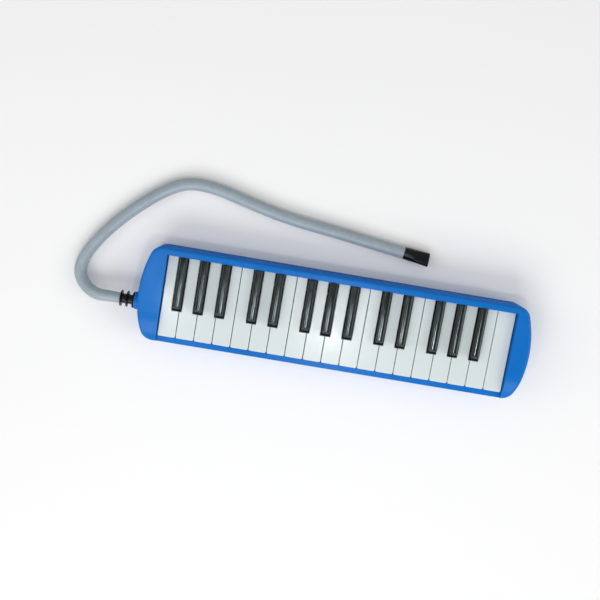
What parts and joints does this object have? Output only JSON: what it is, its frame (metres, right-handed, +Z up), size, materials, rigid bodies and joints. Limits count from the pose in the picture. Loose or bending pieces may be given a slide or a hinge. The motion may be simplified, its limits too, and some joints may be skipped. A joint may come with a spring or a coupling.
{
  "type": "melodica",
  "caption": "Free-reed keyboard wind instrument: piano-style keys over a reed chamber in a slim blue case, blown through a flexible hose with a mouthpiece.",
  "frame": {"origin": "Middle of the underside: the base plane, centred on the body with its inlet boss; the hose and its fittings are not counted.", "axes": "+X along the keyboard to the high notes (the air inlet is at -X), +Y from the key fronts to the back, +Z up."},
  "size_m": [0.5057, 0.1805, 0.0454],
  "materials": {
    "case_blue": "glossy moulded ABS, blue",
    "key_white": "glossy moulded plastic, cool white",
    "key_black": "glossy moulded plastic, black",
    "socket_plastic": "moulded ABS, blue",
    "chamber_plastic": "moulded ABS, dark grey",
    "reed_brass": "stamped brass",
    "gasket_paper": "gasket paper",
    "screw_steel": "zinc plated steel",
    "plate_steel": "nickel plated steel",
    "rod_steel": "drawn steel rod",
    "spring_steel": "spring steel",
    "felt": "pressed felt",
    "seal_rubber": "silicone rubber",
    "button_black": "moulded plastic, black",
    "fitting_black": "moulded plastic, black",
    "hose_grey": "soft flexible tube, grey",
    "strap_vinyl": "embossed synthetic leather"
  },
  "bodies": {
    "case": {"black_key_felt": "felt", "bottom_case": "case_blue", "case_screws": "screw_steel", "chamber_screws": "screw_steel", "cover_gasket": "gasket_paper", "drain_spring": "spring_steel", "hand_strap": "strap_vinyl", "inlet_socket": "socket_plastic", "key_springs": "spring_steel", "pivot_rod": "rod_steel", "plate_gasket": "gasket_paper", "reed_block": "chamber_plastic", "reed_plate_high": "reed_brass", "reed_plate_low": "reed_brass", "reeds_high": "reed_brass", "reeds_low": "reed_brass", "socket_seal": "seal_rubber", "spring_screws": "screw_steel", "strap_plates": "plate_steel", "strap_screws": "screw_steel", "top_case": "case_blue", "white_key_felt": "felt", "wind_chamber": "chamber_plastic"},
    "white_key_01": {"white_key_01": "key_white"},
    "white_key_02": {"white_key_02": "key_white"},
    "white_key_03": {"white_key_03": "key_white"},
    "white_key_04": {"white_key_04": "key_white"},
    "white_key_05": {"white_key_05": "key_white"},
    "white_key_06": {"white_key_06": "key_white"},
    "white_key_07": {"white_key_07": "key_white"},
    "white_key_08": {"white_key_08": "key_white"},
    "white_key_09": {"white_key_09": "key_white"},
    "white_key_10": {"white_key_10": "key_white"},
    "white_key_11": {"white_key_11": "key_white"},
    "white_key_12": {"white_key_12": "key_white"},
    "white_key_13": {"white_key_13": "key_white"},
    "white_key_14": {"white_key_14": "key_white"},
    "white_key_15": {"white_key_15": "key_white"},
    "white_key_16": {"white_key_16": "key_white"},
    "white_key_17": {"white_key_17": "key_white"},
    "white_key_18": {"white_key_18": "key_white"},
    "white_key_19": {"white_key_19": "key_white"},
    "black_key_01": {"black_key_01": "key_black"},
    "black_key_02": {"black_key_02": "key_black"},
    "black_key_03": {"black_key_03": "key_black"},
    "black_key_04": {"black_key_04": "key_black"},
    "black_key_05": {"black_key_05": "key_black"},
    "black_key_06": {"black_key_06": "key_black"},
    "black_key_07": {"black_key_07": "key_black"},
    "black_key_08": {"black_key_08": "key_black"},
    "black_key_09": {"black_key_09": "key_black"},
    "black_key_10": {"black_key_10": "key_black"},
    "black_key_11": {"black_key_11": "key_black"},
    "black_key_12": {"black_key_12": "key_black"},
    "black_key_13": {"black_key_13": "key_black"},
    "drain_valve": {"drain_button": "button_black", "drain_seal": "seal_rubber"},
    "blow_hose": {"hose_connector": "fitting_black", "hose": "hose_grey", "mouthpiece": "fitting_black"}
  },
  "joints": [
    {"name": "white_key_01_press", "type": "hinge", "parent": "case", "child": "white_key_01", "pos_m": [0.00515, 0.03, 0.03], "axis": [1, 0, 0], "range_deg": [0, 3.8], "stiffness_Nm_per_rad": 0.25, "springref_deg": -3.44, "deforming": ["key_springs"]},
    {"name": "white_key_02_press", "type": "hinge", "parent": "case", "child": "white_key_02", "pos_m": [0.00515, 0.03, 0.03], "axis": [1, 0, 0], "range_deg": [0, 3.8], "stiffness_Nm_per_rad": 0.25, "springref_deg": -3.44, "deforming": ["key_springs"]},
    {"name": "white_key_03_press", "type": "hinge", "parent": "case", "child": "white_key_03", "pos_m": [0.00515, 0.03, 0.03], "axis": [1, 0, 0], "range_deg": [0, 3.8], "stiffness_Nm_per_rad": 0.25, "springref_deg": -3.44, "deforming": ["key_springs"]},
    {"name": "white_key_04_press", "type": "hinge", "parent": "case", "child": "white_key_04", "pos_m": [0.00515, 0.03, 0.03], "axis": [1, 0, 0], "range_deg": [0, 3.8], "stiffness_Nm_per_rad": 0.25, "springref_deg": -3.44, "deforming": ["key_springs"]},
    {"name": "white_key_05_press", "type": "hinge", "parent": "case", "child": "white_key_05", "pos_m": [0.00515, 0.03, 0.03], "axis": [1, 0, 0], "range_deg": [0, 3.8], "stiffness_Nm_per_rad": 0.25, "springref_deg": -3.44, "deforming": ["key_springs"]},
    {"name": "white_key_06_press", "type": "hinge", "parent": "case", "child": "white_key_06", "pos_m": [0.00515, 0.03, 0.03], "axis": [1, 0, 0], "range_deg": [0, 3.8], "stiffness_Nm_per_rad": 0.25, "springref_deg": -3.44, "deforming": ["key_springs"]},
    {"name": "white_key_07_press", "type": "hinge", "parent": "case", "child": "white_key_07", "pos_m": [0.00515, 0.03, 0.03], "axis": [1, 0, 0], "range_deg": [0, 3.8], "stiffness_Nm_per_rad": 0.25, "springref_deg": -3.44, "deforming": ["key_springs"]},
    {"name": "white_key_08_press", "type": "hinge", "parent": "case", "child": "white_key_08", "pos_m": [0.00515, 0.03, 0.03], "axis": [1, 0, 0], "range_deg": [0, 3.8], "stiffness_Nm_per_rad": 0.25, "springref_deg": -3.44, "deforming": ["key_springs"]},
    {"name": "white_key_09_press", "type": "hinge", "parent": "case", "child": "white_key_09", "pos_m": [0.00515, 0.03, 0.03], "axis": [1, 0, 0], "range_deg": [0, 3.8], "stiffness_Nm_per_rad": 0.25, "springref_deg": -3.44, "deforming": ["key_springs"]},
    {"name": "white_key_10_press", "type": "hinge", "parent": "case", "child": "white_key_10", "pos_m": [0.00515, 0.03, 0.03], "axis": [1, 0, 0], "range_deg": [0, 3.8], "stiffness_Nm_per_rad": 0.25, "springref_deg": -3.44, "deforming": ["key_springs"]},
    {"name": "white_key_11_press", "type": "hinge", "parent": "case", "child": "white_key_11", "pos_m": [0.00515, 0.03, 0.03], "axis": [1, 0, 0], "range_deg": [0, 3.8], "stiffness_Nm_per_rad": 0.25, "springref_deg": -3.44, "deforming": ["key_springs"]},
    {"name": "white_key_12_press", "type": "hinge", "parent": "case", "child": "white_key_12", "pos_m": [0.00515, 0.03, 0.03], "axis": [1, 0, 0], "range_deg": [0, 3.8], "stiffness_Nm_per_rad": 0.25, "springref_deg": -3.44, "deforming": ["key_springs"]},
    {"name": "white_key_13_press", "type": "hinge", "parent": "case", "child": "white_key_13", "pos_m": [0.00515, 0.03, 0.03], "axis": [1, 0, 0], "range_deg": [0, 3.8], "stiffness_Nm_per_rad": 0.25, "springref_deg": -3.44, "deforming": ["key_springs"]},
    {"name": "white_key_14_press", "type": "hinge", "parent": "case", "child": "white_key_14", "pos_m": [0.00515, 0.03, 0.03], "axis": [1, 0, 0], "range_deg": [0, 3.8], "stiffness_Nm_per_rad": 0.25, "springref_deg": -3.44, "deforming": ["key_springs"]},
    {"name": "white_key_15_press", "type": "hinge", "parent": "case", "child": "white_key_15", "pos_m": [0.00515, 0.03, 0.03], "axis": [1, 0, 0], "range_deg": [0, 3.8], "stiffness_Nm_per_rad": 0.25, "springref_deg": -3.44, "deforming": ["key_springs"]},
    {"name": "white_key_16_press", "type": "hinge", "parent": "case", "child": "white_key_16", "pos_m": [0.00515, 0.03, 0.03], "axis": [1, 0, 0], "range_deg": [0, 3.8], "stiffness_Nm_per_rad": 0.25, "springref_deg": -3.44, "deforming": ["key_springs"]},
    {"name": "white_key_17_press", "type": "hinge", "parent": "case", "child": "white_key_17", "pos_m": [0.00515, 0.03, 0.03], "axis": [1, 0, 0], "range_deg": [0, 3.8], "stiffness_Nm_per_rad": 0.25, "springref_deg": -3.44, "deforming": ["key_springs"]},
    {"name": "white_key_18_press", "type": "hinge", "parent": "case", "child": "white_key_18", "pos_m": [0.00515, 0.03, 0.03], "axis": [1, 0, 0], "range_deg": [0, 3.8], "stiffness_Nm_per_rad": 0.25, "springref_deg": -3.44, "deforming": ["key_springs"]},
    {"name": "white_key_19_press", "type": "hinge", "parent": "case", "child": "white_key_19", "pos_m": [0.00515, 0.03, 0.03], "axis": [1, 0, 0], "range_deg": [0, 3.8], "stiffness_Nm_per_rad": 0.25, "springref_deg": -3.44, "deforming": ["key_springs"]},
    {"name": "black_key_01_press", "type": "hinge", "parent": "case", "child": "black_key_01", "pos_m": [0.00515, 0.03, 0.03], "axis": [1, 0, 0], "range_deg": [0, 3.8], "stiffness_Nm_per_rad": 0.25, "springref_deg": -3.44, "deforming": ["key_springs"]},
    {"name": "black_key_02_press", "type": "hinge", "parent": "case", "child": "black_key_02", "pos_m": [0.00515, 0.03, 0.03], "axis": [1, 0, 0], "range_deg": [0, 3.8], "stiffness_Nm_per_rad": 0.25, "springref_deg": -3.44, "deforming": ["key_springs"]},
    {"name": "black_key_03_press", "type": "hinge", "parent": "case", "child": "black_key_03", "pos_m": [0.00515, 0.03, 0.03], "axis": [1, 0, 0], "range_deg": [0, 3.8], "stiffness_Nm_per_rad": 0.25, "springref_deg": -3.44, "deforming": ["key_springs"]},
    {"name": "black_key_04_press", "type": "hinge", "parent": "case", "child": "black_key_04", "pos_m": [0.00515, 0.03, 0.03], "axis": [1, 0, 0], "range_deg": [0, 3.8], "stiffness_Nm_per_rad": 0.25, "springref_deg": -3.44, "deforming": ["key_springs"]},
    {"name": "black_key_05_press", "type": "hinge", "parent": "case", "child": "black_key_05", "pos_m": [0.00515, 0.03, 0.03], "axis": [1, 0, 0], "range_deg": [0, 3.8], "stiffness_Nm_per_rad": 0.25, "springref_deg": -3.44, "deforming": ["key_springs"]},
    {"name": "black_key_06_press", "type": "hinge", "parent": "case", "child": "black_key_06", "pos_m": [0.00515, 0.03, 0.03], "axis": [1, 0, 0], "range_deg": [0, 3.8], "stiffness_Nm_per_rad": 0.25, "springref_deg": -3.44, "deforming": ["key_springs"]},
    {"name": "black_key_07_press", "type": "hinge", "parent": "case", "child": "black_key_07", "pos_m": [0.00515, 0.03, 0.03], "axis": [1, 0, 0], "range_deg": [0, 3.8], "stiffness_Nm_per_rad": 0.25, "springref_deg": -3.44, "deforming": ["key_springs"]},
    {"name": "black_key_08_press", "type": "hinge", "parent": "case", "child": "black_key_08", "pos_m": [0.00515, 0.03, 0.03], "axis": [1, 0, 0], "range_deg": [0, 3.8], "stiffness_Nm_per_rad": 0.25, "springref_deg": -3.44, "deforming": ["key_springs"]},
    {"name": "black_key_09_press", "type": "hinge", "parent": "case", "child": "black_key_09", "pos_m": [0.00515, 0.03, 0.03], "axis": [1, 0, 0], "range_deg": [0, 3.8], "stiffness_Nm_per_rad": 0.25, "springref_deg": -3.44, "deforming": ["key_springs"]},
    {"name": "black_key_10_press", "type": "hinge", "parent": "case", "child": "black_key_10", "pos_m": [0.00515, 0.03, 0.03], "axis": [1, 0, 0], "range_deg": [0, 3.8], "stiffness_Nm_per_rad": 0.25, "springref_deg": -3.44, "deforming": ["key_springs"]},
    {"name": "black_key_11_press", "type": "hinge", "parent": "case", "child": "black_key_11", "pos_m": [0.00515, 0.03, 0.03], "axis": [1, 0, 0], "range_deg": [0, 3.8], "stiffness_Nm_per_rad": 0.25, "springref_deg": -3.44, "deforming": ["key_springs"]},
    {"name": "black_key_12_press", "type": "hinge", "parent": "case", "child": "black_key_12", "pos_m": [0.00515, 0.03, 0.03], "axis": [1, 0, 0], "range_deg": [0, 3.8], "stiffness_Nm_per_rad": 0.25, "springref_deg": -3.44, "deforming": ["key_springs"]},
    {"name": "black_key_13_press", "type": "hinge", "parent": "case", "child": "black_key_13", "pos_m": [0.00515, 0.03, 0.03], "axis": [1, 0, 0], "range_deg": [0, 3.8], "stiffness_Nm_per_rad": 0.25, "springref_deg": -3.44, "deforming": ["key_springs"]},
    {"name": "drain_press", "type": "slide", "parent": "case", "child": "drain_valve", "axis": [0, 0, 1], "range_m": [0, 0.0016], "stiffness_N_per_m": 300, "springref_m": -0.002, "deforming": ["drain_spring"]},
    {"name": "hose_pull_out", "type": "slide", "parent": "case", "child": "blow_hose", "axis": [-1, 0, 0], "range_m": [0, 0.03]}
  ]
}
